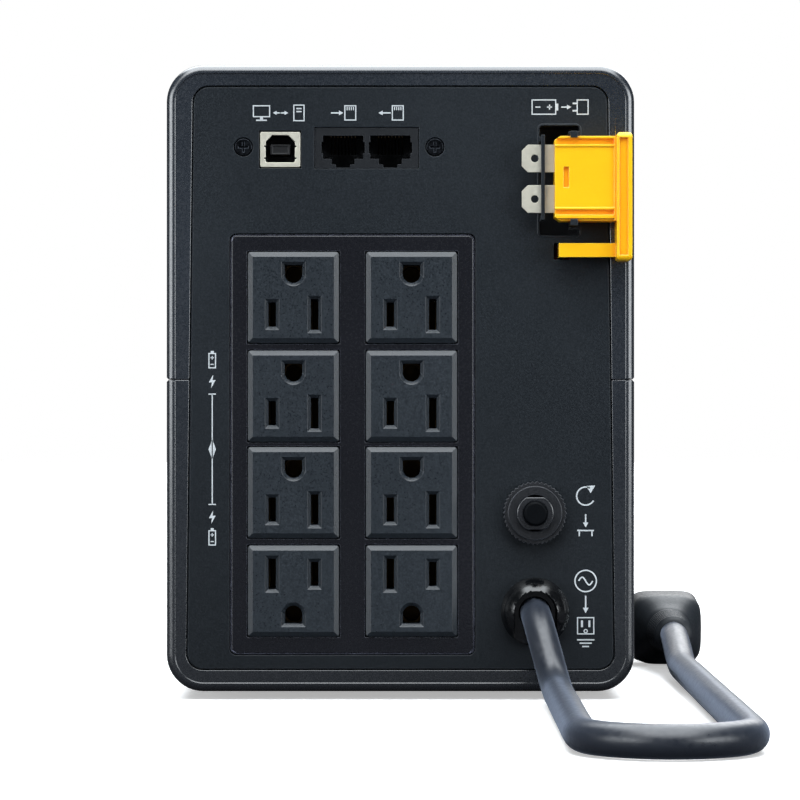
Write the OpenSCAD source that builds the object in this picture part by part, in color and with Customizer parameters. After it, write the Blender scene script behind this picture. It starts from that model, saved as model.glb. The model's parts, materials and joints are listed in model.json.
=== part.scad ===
// Line-interactive uninterruptible power supply, tower casing, with eight
// receptacles, data ports, a reset breaker and a parked battery link plug.
// +Z up. The origin is the middle of the casing's footprint, on the floor.
// The connection panel faces -Y and the front bezel faces +Y.

/* [Casing] */
// Width of the casing
case_w = 140; // [138:1:144]
// Height from the floor to the top of the casing
case_h = 190; // [189:0.5:194]
// Depth from the rear rim to the front of the bezel
case_d = 336; // [334:2:390]
// Height of the rubber feet under the casing
foot_h = 2.5; // [2:0.25:3]
// Corner radius of the casing seen from the rear
corner_r = 11; // [10.5:0.5:13]
// Wall thickness of the shells
wall = 2.6; // [2.3:0.1:2.6]
// Radius of the rounded rear rim
rim_fillet = 2.3; // [1.6:0.1:2.4]
// Depth of the front bezel
bezel_d = 28; // [27:0.5:30]
// Height of the joint between the two shells
seam_z = 95.8; // [94:0.2:97]

/* [Outlets] */
// Width of the plate that carries the receptacles
plate_w = 72.9; // [72:0.1:74]
// Height of the plate that carries the receptacles
plate_h = 125.5; // [125:0.1:127]
// Side of one square receptacle face
pad = 27.3; // [26.8:0.1:27.6]
// Spacing of the two columns of receptacles
col_pitch = 35.33; // [34.8:0.1:36]
// Radius of the receptacle lead wires
lead_r = 1.4; // [1:0.1:1.6]

/* [Circuit breaker] */
// Outer radius of the knurled nut
nut_r = 9.5; // [9:0.1:10]
// Radius of the reset button
reset_r = 3.58; // [3.3:0.02:3.6]
// How far the reset button pops out when it trips
reset_travel = 4; // [3:0.5:5]

/* [Battery link plug] */
// Width of one flat blade of the plug
blade_w = 8.2; // [7.8:0.1:8.4]
// Thickness of one flat blade of the plug
blade_t = 1.0; // [0.8:0.05:1.1]
// Thickness of the plug body, standing off the panel
plug_t = 10.7; // [10.2:0.1:10.8]

/* [Power button] */
// Radius of the round power button
button_r = 9; // [8:0.1:9.05]
// Travel of the power button
button_travel = 1.5; // [1:0.1:1.5]

/* [Cord] */
// Radius of the round power cord
cord_r = 4.5; // [4.2:0.05:4.55]
// Radius of the turn where the cord doubles back on the floor
cord_turn = 22; // [20:1:30]
// Straight length of cord on the floor before it turns back
cord_out = 130; // [14:2:150]
// Straight length of cord beside the casing
cord_run = 234; // [60:2:300]

/* [Hidden] */
$fn = 48;
eps = 0.05;

// Casing planes
rear_y = -case_d / 2;             // plane of the rear rim
half_w = case_w / 2;
half_h = (case_h - foot_h) / 2;   // half height of the shells
mid_z = foot_h + half_h;          // middle height of the shells
shell_d = case_d - bezel_d;       // depth of the shells
shell_end = rear_y + shell_d;     // front edge of the shells
floor_z = foot_h + wall;          // inside face of the casing's floor
roof_z = case_h - wall;           // inside face of the casing's roof
panel_front = 0.6;                // depth of the rear panel's outer face behind the rim
panel_back = 3.2;                 // depth of the rear panel's inner face
board_z = 128;                    // underside of the main board
board_top = board_z + 1.6;

// Places seen from above, [x, y]
function grid(xs, ys) = [for (y = ys, x = xs) [x, y]];
posts = grid([-60, 60], [-150, 125]);
board_posts = grid([-50, 40], [-104, 74]);
feet = grid([-48, 48], [-124, 118]);
bracket_bosses = grid([-52, 52], [-95, -55]);

// Places on the rear panel, [x, z]
plate = [-14.35, 76.45];
cols = [for (s = [-1, 1]) plate[0] + s * col_pitch / 2];
rows = [120.4, 90.9, 62.05, 32.6];
relief = [40.2, 26.5];
breaker = [40.1, 56.0];
socket = [47.5, 155.35];
usb = [-35.96, 164.67];
jack = [-10.1, 165.16];
jack_x = [-17.17, -3.02];         // middles of the two network openings
port_screw_at = grid([-47, 10.3], [165.4]);
blade_z = [161.56, 149.5];        // heights of the link plug's blades

// Places on the front, [x, z]
button = [0, 156];
lenses = [for (i = [-1.5:1:1.5]) [button[0] + i * 9, 130]];
front_pegs = grid([-22, 22], [172]);

// ---------- helpers ----------
// A flat shape drawn as seen from the rear, filling the depths near to far behind the rim
module slab(at, near, far)
  translate([at[0], rear_y + far, at[1]]) rotate([90, 0, 0]) linear_extrude(far - near) children();

// A flat shape drawn in Y and Z, carried along +X
module along_x(length) rotate([90, 0, 90]) linear_extrude(length) children();

// Children repeated at each [x, y] point, at height z
module at_each(points, z) for (p = points) translate([p[0], p[1], z]) children();

// A block from low corner to high corner
module block(low, high) translate(low) cube(high - low);

// A block on the +X side and its twin on the -X side
module both_sides(low, high) for (s = [-1, 1])
  block([s > 0 ? low[0] : -high[0], low[1], low[2]], [s > 0 ? high[0] : -low[0], high[1], high[2]]);

// A rectangle with its middle at the origin
module rect(w, h) square([w, h], center = true);

// A rectangle with round corners
module rrect(w, h, r) {
  rect(w - 2 * r, h);
  rect(w, h - 2 * r);
  for (i = [-1, 1], j = [-1, 1]) translate([i * (w / 2 - r), j * (h / 2 - r)]) circle(r);
}

// A profile carried round the casing's outline; x is corner_r less the distance in
// from the skin, y is minus the depth
module hoop() translate([0, rear_y, mid_z]) rotate([90, 0, 0])
  for (i = [0:3]) rotate([0, 0, 90 * i]) {
    across = i % 2 == 0 ? half_w : half_h;
    along = i % 2 == 0 ? half_h : half_w;
    translate([across - corner_r, along - corner_r, 0]) {
      rotate_extrude(angle = 90) children();
      rotate([90, 0, 0]) linear_extrude(2 * (along - corner_r)) children();
    }
  }

// Points on an arc from angle a0 to angle a1
function arc(x, z, r, a0, a1, steps = 8) =
  [for (i = [0:steps]) let (a = a0 + (a1 - a0) * i / steps) [x + r * cos(a), z + r * sin(a)]];

// The same outline with its two columns changed over
function swap(points) = [for (p = points) [p[1], p[0]]];

// A round wire through a list of points
module wire(points, r) for (i = [0:len(points) - 2]) {
  step = points[i + 1] - points[i];
  reach = norm(step);
  translate(points[i]) rotate([0, acos(step[2] / reach), atan2(step[1], step[0])])
    cylinder(r = r, h = reach, $fn = 24);
  if (i > 0) translate(points[i]) sphere(r * 1.06, $fn = 24);
}

// A cross-head screw standing along +Z with its head's underside at z = 0
module screw(head_r, head_h, shank_r, length) difference() {
  union() {
    translate([0, 0, -head_h]) cylinder(r = head_r, h = head_h);
    cylinder(r = shank_r, h = length);
  }
  for (a = [0, 90]) rotate([0, 0, a]) translate([-head_r * 0.6, -head_r * 0.11, -head_h - 0.1])
    cube([head_r * 1.2, head_r * 0.22, head_h * 0.75]);
}

// ---------- casing ----------
post_top = 88.2;       // top of the lower shell's posts
post_ledge = 78;       // where the case screws' heads seat
slot_len = 38;         // side vent slots
slot_count = 12;
slot_pitch = 8;

module shell_profile() translate([corner_r, 0]) mirror([1, 0, 0]) difference() {
  union() {
    translate([0, -shell_d]) square([wall, shell_d]);
    // rear rim, and the ledge that leaves a groove for the rear panel
    translate([0, -3]) square([9.4, 3]);
    translate([0, -7.6]) square([6, 2]);
  }
  difference() {
    translate([-1, -rim_fillet]) square([rim_fillet + 1, rim_fillet + 1]);
    translate([rim_fillet, -rim_fillet]) circle(rim_fillet);
  }
  translate([rim_fillet + 0.3, -0.3]) square([12, 1]);
}

// Outline of the rear panel, a little narrower at the top
function panel_half_w(z) = half_w - 5.8 - (z - 8.9) * 2 / 174.9;
function panel_outline(inset) =
  let (z0 = foot_h + 6.4 + inset, z1 = case_h - 6.2 - inset, r = max(5 - inset, 1),
       low_x = panel_half_w(z0 + r) - inset - r, top_x = panel_half_w(z1 - r) - inset - r)
  concat(arc(low_x, z0 + r, r, -90, 0), arc(top_x, z1 - r, r, 0, 90),
         arc(-top_x, z1 - r, r, 90, 180), arc(-low_x, z0 + r, r, 180, 270));

module shell_skin() difference() {
  hoop() shell_profile();
  slab([0, 0], -1, 3.5) polygon(panel_outline(0));
}

// Everything of the casing between two heights
module casing_band(z0, z1)
  block([-half_w - 1, rear_y - 1, z0], [half_w + 1, shell_end + 1, z1]);

// Groove that runs round the joint between the shells
module seam_notch() {
  for (s = [-1, 1]) translate([s * half_w, rear_y - 1, seam_z]) rotate([-90, 0, 0])
    linear_extrude(shell_d + 2) polygon([[s * 0.2, -0.85], [s * 0.2, 0.85], [-s * 0.7, 0]]);
  for (x = [half_w - 9, -half_w - 1]) translate([x, rear_y, seam_z])
    along_x(10) polygon([[-0.2, -0.6], [0.6, 0], [-0.2, 0.6]]);
}

// Rows of upright slots through both side walls, their middles at height z
module side_slots(z) for (i = [0:slot_count - 1], s = [-1, 1])
  translate([s * half_w - 5, -118 + i * slot_pitch, z]) along_x(10) rrect(3, slot_len, 1.45);

module upper_shell() color("#2c3238") difference() {
  union() {
    difference() {
      shell_skin();
      casing_band(foot_h - 1, seam_z + eps);
      // rebate for the lower shell's tongue
      both_sides([half_w - wall - 0.1, rear_y + 9, seam_z - 1],
                 [half_w - 1.5, shell_end - 12, seam_z + 3.4]);
      seam_notch();
      side_slots(131);
    }
    // posts that take the case screws
    at_each(posts, post_top + 0.1) cylinder(r = 4.5, h = roof_z + 0.6 - post_top - 0.1);
    // posts that hang the main board
    at_each(board_posts, board_top + eps) cylinder(r = 3.5, h = roof_z + 0.6 - board_top - eps);
    // stiffening ribs under the roof
    for (y = [-60, 10, 60, 110])
      block([-half_w + 8, y - 0.8, roof_z - 6], [half_w - 8, y + 0.8, roof_z + 0.3]);
  }
  at_each(posts, 88) cylinder(r = 1.6, h = 22);
  at_each(board_posts, 129) cylinder(r = 1.25, h = 16);
}

module lower_shell() color("#272c31") difference() {
  union() {
    difference() {
      shell_skin();
      casing_band(seam_z - eps, case_h + 1);
      seam_notch();
      side_slots(55);
      // floor vents
      for (i = [0:7])
        block([-20, -108 + i * 9, foot_h - 1], [20, -105 + i * 9, floor_z + 1]);
    }
    // tongue that locates the upper shell
    both_sides([half_w - wall, rear_y + 9.2, seam_z - 4],
               [half_w - 1.6, shell_end - 12.2, seam_z + 3.1]);
    // posts for the case screws
    at_each(posts, foot_h + 0.5) cylinder(r = 5, h = post_top - foot_h - 0.5);
    // battery cradle
    both_sides([33, -25.4, floor_z - 0.3], [34.6, 128.4, 20]);
    for (y = [-26.2, 127.6]) block([-34.6, y, floor_z - 0.3], [34.6, y + 1.4, 24]);
    // bosses for the transformer bracket
    at_each(bracket_bosses, floor_z - 0.3) cylinder(r = 4, h = 1.8);
    // stiffening ribs
    for (y = [-20, 40, 90]) both_sides([34, y, floor_z - 0.3], [half_w - 7, y + 1.6, 12]);
  }
  at_each(posts, 0) {
    cylinder(r = 3.9, h = post_ledge);
    cylinder(r = 1.8, h = 90);
  }
  at_each(feet, foot_h - 1) cylinder(r = 7.6, h = 1.9);
  at_each(bracket_bosses, foot_h + 0.8) cylinder(r = 1.3, h = 6);
}

module rubber_feet() color("#15171a") at_each(feet, 0) {
  cylinder(r1 = 6.6, r2 = 7.5, h = 0.9);
  translate([0, 0, 0.9]) cylinder(r = 7.5, h = foot_h);
}

module case_screws() color("#55585c") at_each(posts, post_ledge) screw(3.4, 2.4, 1.55, 28);

// ---------- rear panel ----------
strap_x = socket[0] - 5.7;
strap_z = [143.2, 166.9];     // undersides of the strap's two arms
arm_t = 1.6;
root_y = rear_y + panel_back;
clip_x = 50.3;                // -X edge of the clips
clip_z = [for (s = [-1, 1]) socket[1] + s * 13.35];

// Strap on the outer side of the parked blades, on two arms
module blade_strap() {
  block([strap_x, rear_y - 7.4, strap_z[0]], [strap_x + 1.1, rear_y - 6.2, strap_z[1] + arm_t]);
  for (z = strap_z) {
    block([strap_x, rear_y - 7.4, z], [strap_x + 1.1, root_y, z + arm_t]);
    block([strap_x - 0.9, rear_y + 1.0, z], [strap_x + 1.1, root_y, z + arm_t]);
  }
}

// Hooked clips above and below the parked plug body
module plug_clips() for (i = [0, 1]) {
  z = clip_z[i];
  block([clip_x, rear_y - 11.9, z - 0.6], [clip_x + 2.2, root_y, z + 0.6]);
  block([clip_x, rear_y + 1.0, z - 0.6], [clip_x + 4.3, root_y, z + 0.6]);
  block([clip_x, rear_y - 11.9, i == 1 ? z - 1.3 : z - 0.6],
        [clip_x + 2.2, rear_y - 11.1, i == 1 ? z + 0.6 : z + 1.3]);
}

module socket_recess(near, far) slab(socket, near, far) rrect(12, 32.9, 1);

module rear_panel() color("#2e363c") difference() {
  union() {
    slab([0, 0], panel_front, 1.0) polygon(panel_outline(0.6));
    slab([0, 0], 1.0, panel_back) polygon(panel_outline(0.3));
    // edge flange held in the shells' groove
    difference() {
      slab([0, mid_z], 3.05, 5.2)
        rrect(case_w - 2 * wall - 0.8, 2 * half_h - 2 * wall - 0.8, corner_r - wall - 0.4);
      slab([0, mid_z], 3, 6) rrect(122, 172, 4);
    }
    // raised rim round the socket's recess
    slab(socket, panel_front - 0.25, 1.5) rrect(13, 33.9, 1.5);
    blade_strap();
    plug_clips();
  }
  // openings for the outlet plate and the data ports
  slab(plate, -1, 6) rrect(plate_w + 0.7, plate_h + 0.7, 2.1);
  slab(usb, -1, 6) rect(12.64, 11.3);
  slab(jack, -1, 6) rect(31.3, 12.45);
  for (at = port_screw_at) {
    slab(at, -1, 1.9) circle(2.9);
    slab(at, -1, 6) circle(1.7);
  }
  slab(breaker, -1, 6) intersection() {
    circle(5.6);
    rect(12, 9.9);
  }
  slab(relief, -1, 6) circle(8.2);
  // recess of the battery socket, left clear of the strap and clip roots
  difference() {
    socket_recess(-1, 6);
    for (z = strap_z) block([strap_x - 0.9, rear_y - 9, z], [strap_x + 1.1, root_y, z + arm_t]);
    for (z = clip_z) block([clip_x, rear_y - 13, z - 1.4], [clip_x + 4.3, root_y, z + 1.4]);
  }
  // slot for the plug's locking arm
  slab([48.3, 134.2], -1, 6) rect(4.8, 5);
}

// ---------- outlets ----------
row_up = [1, 1, 1, -1];    // 1 with the ground pin up, -1 with it down
blade_dx = 6.35;           // blade slots either side of the middle
blade_dz = 5.1;            // blade slots off the middle, away from the ground hole
ground_dz = 7;             // round of the ground hole off the middle
slot_w = 2.2;
ground_r = 2.6;
face_d = -0.5;             // depth of a receptacle's face, proud of the rim
mouth_d = 0.5;             // depth where the tapered mouths end
flare = 1.0;               // how much wider a mouth is at the face
// Blade slots: side of the middle with the ground pin up, slot height, chamber height
blade_slots = [[-1, 7.2, 8.4], [1, 9.1, 10]];

function slot_at(x, row, side) =
  [x + side * row_up[row] * blade_dx, rows[row] - row_up[row] * blade_dz];
function ground_at(x, row) = [x, rows[row] + row_up[row] * ground_dz];

module outlet_plate() color("#23272c") difference() {
  union() {
    slab(plate, 0.9, 1.3) rrect(plate_w - 0.6, plate_h - 0.6, 1.5);
    slab(plate, 1.3, 3.25) rrect(plate_w, plate_h, 1.8);
    slab(plate, 3.25, 5) rrect(plate_w + 3, plate_h + 3, 2.4);
  }
  for (x = cols, z = rows) slab([x, z], 0, 6) rect(pad + 0.6, pad + 0.6);
}

// A tapered mouth, w by h at its throat
function mouth_profile(half) =
  [[-half - flare - 0.1, face_d - 0.1], [half + flare + 0.1, face_d - 0.1],
   [half, mouth_d], [-half, mouth_d]];
module mouth(at, w, h) {
  reach_x = w / 2 + flare + 1;
  reach_z = h / 2 + flare + 1;
  intersection() {
    translate([at[0], rear_y, at[1] - reach_z]) linear_extrude(2 * reach_z)
      polygon(mouth_profile(w / 2));
    translate([at[0] - reach_x, rear_y, at[1]]) along_x(2 * reach_x)
      polygon(swap(mouth_profile(h / 2)));
  }
}

// Front part of a receptacle, its four edges bevelled at the face
module outlet_face(at) {
  half = pad / 2;
  profile = [[-half + 1.5, face_d], [half - 1.5, face_d], [half, 0.5],
             [half, 6], [-half, 6], [-half, 0.5]];
  intersection() {
    slab(at, face_d, 5.05) rrect(pad, pad, 1);
    translate([at[0], rear_y, at[1] - 15]) linear_extrude(30) polygon(profile);
    translate([at[0] - 15, rear_y, at[1]]) along_x(30) polygon(swap(profile));
  }
}

// One receptacle
module outlet(col, row) color("#31393f") {
  x = cols[col];
  at = [x, rows[row]];
  up = row_up[row];
  ground = ground_at(x, row);
  difference() {
    union() {
      outlet_face(at);
      slab(at, 5.05, 6.5) rect(pad + 1.4, pad + 1.4);
      slab(at, 6.5, 23) rrect(pad - 1.5, pad - 1.5, 1.5);
    }
    // blade slots, then the roomier chambers for the contacts
    for (slot = blade_slots) {
      blade = slot_at(x, row, slot[0]);
      slab(blade, -1, 8) rect(slot_w, slot[1]);
      mouth(blade, slot_w, slot[1]);
      slab(blade, 6, 24) rect(4.2, slot[2]);
    }
    // ground hole, round towards the blades and flat away from them
    slab(ground, -1, 8) {
      circle(ground_r);
      translate([0, up * 1.35]) rect(2 * ground_r, 2.7);
    }
    translate([x, rear_y + 0.5, ground[1]]) rotate([90, 0, 0])
      cylinder(r1 = ground_r, r2 = 3.7, h = 1.1);
    mouth(ground + [0, up * 1.35], 2 * ground_r, 2.7);
    slab(ground, 6, 24) circle(4.1);
  }
}

// Depths of the leads behind the rim
live_d = 27.5;
neutral_d = 31.5;
ground_d = 35.5;
lead_z = 121;       // height where the leads run forward
lead_y = -100;      // where they rise to the main board

// Two-leaved contacts in all eight receptacles, with tails that reach the leads
module blade_contacts(side, h, lead_d) for (x = cols, row = [0:3]) {
  at = slot_at(x, row, side);
  for (i = [-1, 1]) slab(at + [i * 1.15, 0], 8.5, 21) rect(0.6, h);
  slab(at, 20.4, 21.2) rect(2.9, h);
  slab(at, 21, lead_d - lead_r) rect(0.8, 4);
}

module live_contacts() color("#b98c4a") blade_contacts(-1, 6.6, live_d);

module neutral_contacts() color("#b98c4a") blade_contacts(1, 8.4, neutral_d);

module ground_contacts() color("#b98c4a") for (x = cols, row = [0:3]) {
  at = ground_at(x, row);
  difference() {
    slab(at, 8.5, 21) circle(3.3);
    slab(at, 8, 20) circle(2.55);
  }
  slab(at, 20.9, ground_d - lead_r) rect(0.8, 3);
}

// Leads that climb the back of each column, cross over once and rise to the main board
module leads(side, depth) for (x = cols) {
  y = rear_y + depth;
  x0 = x + side * blade_dx;
  x1 = x - side * blade_dx;
  cross_z = rows[3] + 12.7;
  wire([[x0, y, rows[3] + blade_dz], [x0, y, cross_z], [x1, y, cross_z], [x1, y, lead_z],
        [x1, lead_y, lead_z], [x1, lead_y, board_z - eps]], lead_r);
}

module live_leads() color("#1b1b1d") leads(1, live_d);

module neutral_leads() color("#d8d8d4") leads(-1, neutral_d);

module ground_leads() color("#2f7d43") for (x = cols) {
  y = rear_y + ground_d;
  z = lead_z + (x > plate[0] ? 4 : 0);
  wire([[x, y, rows[3] - ground_dz], [x, y, z], [x, lead_y, z],
        [x, lead_y, board_z - eps]], lead_r);
}

// ---------- data ports ----------
tongue = usb + [0, 0.05];

// Opening of the USB port about its middle, [x, z]
usb_open = [[-4.375, 2.3], [-2.45, 4.3], [2.45, 4.3], [4.375, 2.3],
            [4.375, -3.5], [4.05, -3.85], [-4.05, -3.85], [-4.375, -3.5]];

module usb_shell() color("#cfcac0") difference() {
  slab(usb, 0.9, 17) rrect(12, 10.5, 0.5);
  slab(usb, 1.5, 16.6) rect(11.2, 9.7);
  slab(usb, 0, 2) polygon(usb_open);
  for (i = [-1, 1], z = [0.94, -2.6]) slab(usb + [i * 4.5, z], 0, 2) rect(0.7, 0.5);
}

module usb_insert() color("#17181b") difference() {
  union() {
    difference() {
      slab(usb, 1.55, 16.5) rect(11.1, 9.6);
      slab(usb, 1, 11) polygon(usb_open);
    }
    difference() {
      slab(tongue, 2.2, 11.5) rect(5.8, 3);
      slab(tongue, 1.6, 2.5) rect(4.6, 2.2);
    }
  }
  for (i = [-1, 1], j = [-1, 1]) slab(tongue + [i * 1.25, j * 1.35], 3, 16) rect(1.1, 0.4);
}

module usb_contacts() color("#caa650") for (i = [-1, 1], j = [-1, 1])
  slab(tongue + [i * 1.25, j * 1.38], 3.4, 15.8) rect(1.0, 0.3);

// Opening of one network jack about its middle, [x, z]
jack_open = [
  [-6.03, 3.7], [6.03, 3.7], [6.03, 1.7], [6.5, 1.7], [6.5, -1.6],
  [6.03, -1.6], [6.03, -3.3], [3.45, -3.3], [3.45, -4.95], [2.14, -4.95],
  [2.14, -5.9], [-2.14, -5.9], [-2.14, -4.95], [-3.45, -4.95], [-3.45, -3.3],
  [-6.03, -3.3], [-6.03, -1.6], [-6.5, -1.6], [-6.5, 1.7], [-6.03, 1.7]
];

// Side view of one bent network contact, [depth, height above the jack's middle]
jack_spring = [[2.4, 3.55], [2.4, 3.2], [6, 3.0], [13.9, -1.2], [13.9, -0.8], [6, 3.5]];

module network_jack() color("#2a3138") difference() {
  slab(jack, 0.9, 18) rect(30.9, 12.1);
  for (x = jack_x) slab([x, jack[1]], 0, 14) polygon(jack_open);
}

module network_contacts() color("#c9a64d") for (x = jack_x, i = [0:7])
  translate([x - 3.57 + i * 1.02 - 0.17, rear_y, jack[1]]) along_x(0.34) polygon(jack_spring);

module port_board() color("#1f5a3a") slab([-21, 158.05], 5.6, 36) rect(62, 1.6);

module port_bracket() color("#9a9d9f") difference() {
  union() {
    slab([-18.4, 164.5], 3.3, 4.5) rect(70, 17);
    slab([-18.4, 156.3], 3.3, 34) rect(70, 1.2);
    for (at = port_screw_at) slab(at, 4.4, 8) circle(3);
  }
  slab(usb, 3, 5) rect(12.6, 11.1);
  slab(jack, 3, 5) rect(31.4, 12.6);
  for (at = port_screw_at) slab(at, 3, 9) circle(1.25);
}

module port_screws() color("#2b2d30") for (at = port_screw_at)
  translate([at[0], rear_y + 1.9, at[1]]) rotate([-90, 0, 0]) screw(2.5, 1.1, 1.2, 6.5);

// ---------- battery link ----------
plug_back_y = rear_y - 0.2;              // face of the plug body next to the panel
plug_front_d = -0.2 - plug_t;            // depth of the plug body's outer face
plug_front_y = rear_y + plug_front_d;
plug_mid_y = plug_back_y - plug_t / 2;
blade_tip = 36.1;                        // -X end of the blades
flange_z = 149.98;

module battery_socket() color("#1a1c1f") difference() {
  slab(socket, 3.25, 27) rrect(15.4, 36, 1.2);
  socket_recess(3, 14);
  for (z = blade_z) {
    slab([socket[0], z], 13, 20) rect(1.7, blade_w + 1);
    slab([socket[0], z], 16, 28) rect(4.4, blade_w + 1.6);
  }
}

module socket_contacts() color("#bf9a58") for (z = blade_z) {
  for (i = [-1, 1]) slab([socket[0] + i * 1.25, z], 17, 25) rect(0.7, blade_w);
  slab([socket[0], z], 24.6, 25.6) rect(3.2, blade_w);
  slab([socket[0], z], 25.5, 30) rect(0.9, 6);
}

// Two blades and the bar that joins them, grown by gap, the blades starting at x = tip
module link_shape(gap, tip) {
  y0 = plug_mid_y - blade_t / 2 - gap;
  y1 = plug_mid_y + blade_t / 2 + gap;
  for (z = blade_z)
    block([tip, y0, z - blade_w / 2 - gap], [59 + gap, y1, z + blade_w / 2 + gap]);
  block([54 - gap, y0, blade_z[1] - gap], [59 + gap, y1, blade_z[0] + gap]);
}

module plug_housing() color("#f2c200") difference() {
  union() {
    // body with its grip ribs
    block([45.7, plug_front_y, 142.8], [64.2, plug_back_y, 167.9]);
    // flange with a hollow rim
    difference() {
      intersection() {
        translate([64, plug_back_y, flange_z]) along_x(4.6)
          translate([-plug_t / 2 - 0.7, 0]) rrect(plug_t + 1.4, 38.15, 1.6);
        slab([66.3, flange_z], plug_front_d - 4, 1) rrect(4.6, 38.15, 1.2);
      }
      block([64.75, plug_front_y - 3, 132.6], [67.35, plug_front_y - 0.4, 167.4]);
    }
    // locking arm and its hook
    block([48.2, plug_mid_y - 1.9, 132.2], [64.2, plug_mid_y + 1.9, 136.3]);
    block([47.1, plug_mid_y - 1.9, 132.2], [49.4, rear_y - 0.3, 136.3]);
  }
  // sunk face and bands between the ribs
  block([45, plug_front_y - 1, 146.75], [63.3, plug_front_y + 0.4, 164.75]);
  for (z = [[165.4, 167.15], [142.0, 143.5], [144.6, 146.1]])
    block([45, plug_front_y - 1, z[0]], [63.3, plug_front_y + 1.1, z[1]]);
  // cut corners on the side of the blades
  slab([0, 0], plug_front_d - 2, 1) polygon([[44, 145], [44, 141.7], [49.1, 141.7]]);
  slab([0, 0], plug_front_d - 2, 1) polygon([[44, 165.7], [49.1, 169], [44, 169]]);
  // small pocket in the sunk face
  block([48.3, plug_front_y - 1, 152.7], [49.9, plug_front_y + 1.2, 158.8]);
  link_shape(0.03, 45);
}

module plug_blades() color("#c9c7b8") difference() {
  link_shape(0, blade_tip);
  for (z = blade_z) {
    translate([39.95, plug_mid_y + 2, z]) rotate([90, 0, 0]) cylinder(r = 1.16, h = 4);
    for (s = [-1, 1]) translate([blade_tip, plug_mid_y, z + s * blade_w / 2])
      rotate([0, 45, 0]) cube([2.5, 4, 2.5], center = true);
  }
}

// ---------- circuit breaker ----------
nut_points = 84;      // peaks and valleys of the knurling together
reset_front = -8.6;   // depth where the reset button's bevel starts

module breaker_body() color("#202327") difference() {
  union() {
    slab(breaker, -6.4, 3.6) intersection() {
      circle(5.45);
      rect(12, 9.6);
    }
    slab(breaker, 3.25, 32) rrect(17, 27, 1.5);
  }
  slab(breaker, -7, 16) circle(3.65);
  slab(breaker, 8, 16) circle(5.3);
}

module breaker_nut() color("#22262a") difference() {
  union() {
    slab(breaker, -3.4, panel_front) polygon([
      for (i = [0:nut_points - 1])
        let (a = 360 * i / nut_points, r = i % 2 == 0 ? nut_r : nut_r - 0.5)
        [r * cos(a), r * sin(a)]
    ]);
    slab(breaker, -4.3, -3) circle(8);
  }
  slab(breaker, -5, 2) circle(5.5);
}

module reset_button() color("#141619") {
  slab(breaker, reset_front, 12.8) circle(reset_r);
  translate([breaker[0], rear_y + reset_front, breaker[1]]) rotate([90, 0, 0])
    cylinder(r1 = reset_r, r2 = reset_r - 0.5, h = 0.5);
  slab(breaker, 12.4, 14) circle(5.2);
}

module breaker_tabs() color("#c4c2b6")
  for (s = [-1, 1]) slab(breaker + [0, s * 8], 32, 40) rect(6.3, 0.8);

// ---------- cord ----------
// The cord leaves the relief, falls to the floor in an S leaning towards +X, runs out
// along -Y, doubles back beside the casing and lifts in a second S to the mains plug
joint_r = cord_r + 0.06;              // balls that cover the joints of the cord
cord_z = cord_r + 0.35;               // middle of the cord on the floor
exit_d = -3;                          // depth where the fall starts
exit = [relief[0], rear_y + exit_d, relief[1] - 0.3];

// Straight part and forward reach of an S of two equal bends that shifts the cord sideways
function s_straight(shift, r, angle) = (shift - 2 * r * (1 - cos(angle))) / sin(angle);
function s_reach(shift, r, angle) =
  2 * r * sin(angle) + s_straight(shift, r, angle) * cos(angle);

lean = 14.5;
fall = (exit[2] - cord_z) / cos(lean);
fall_r = 16;
fall_angle = 60;
landing = [relief[0] + fall * sin(lean), exit[1] - s_reach(fall, fall_r, fall_angle), cord_z];
lift = 7.6;
lift_r = 34;
lift_angle = 14;
plug_at = landing
  + [2 * cord_turn, cord_run - cord_out + s_reach(lift, lift_r, lift_angle), lift];

// The ball at the end of a piece of cord, and whatever goes on from there
// A straight piece along +Y; children go on from its end
module run(length) {
  rotate([-90, 0, 0]) cylinder(r = cord_r, h = length);
  translate([0, length, 0]) {
    if ($children > 0) sphere(joint_r);
    children();
  }
}

// A bend from +Y towards +X (side = 1) or -X (side = -1); children go on from its end
module bend(r, angle, side = 1) {
  translate([side * r, 0, 0]) rotate([0, 0, side > 0 ? 180 - angle : 0])
    rotate_extrude(angle = angle) translate([r, 0]) circle(cord_r);
  translate([side * (r - r * cos(angle)), r * sin(angle), 0]) rotate([0, 0, -side * angle]) {
    if ($children > 0) sphere(joint_r);
    children();
  }
}

module strain_relief() color("#101113") difference() {
  union() {
    intersection() {
      translate([relief[0], rear_y + 1, relief[1]]) sphere(11);
      slab(relief, -12, panel_front - eps) circle(10.2);
    }
    slab(relief, 0.3, 16) circle(7.9);
    slab(relief, 3.3, 5.4) circle(9.4);
  }
  slab(relief, -12, -1.6) {
    circle(6.3);
    translate([0, -7]) rect(12.6, 14);
  }
  slab([exit[0], exit[2]], -3, 17) circle(cord_r + 0.1);
}

module power_cord() color("#1b2026") {
  translate([exit[0], rear_y + 30, exit[2]]) rotate([90, 0, 0])
    cylinder(r = cord_r, h = 30 - exit_d);
  translate(exit) rotate([0, -90 - lean, 0]) rotate([0, 0, 180])
    bend(fall_r, fall_angle)
    run(s_straight(fall, fall_r, fall_angle))
    bend(fall_r, fall_angle, -1);
  translate(exit) sphere(joint_r);
  translate(landing) sphere(joint_r);
  translate(landing) rotate([180, 0, 0])
    run(cord_out) bend(cord_turn, 180) run(cord_run)
    rotate([0, -90, 0]) bend(lift_r, lift_angle, -1)
    run(s_straight(lift, lift_r, lift_angle))
    bend(lift_r, lift_angle, 1) run(8);
}

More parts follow.
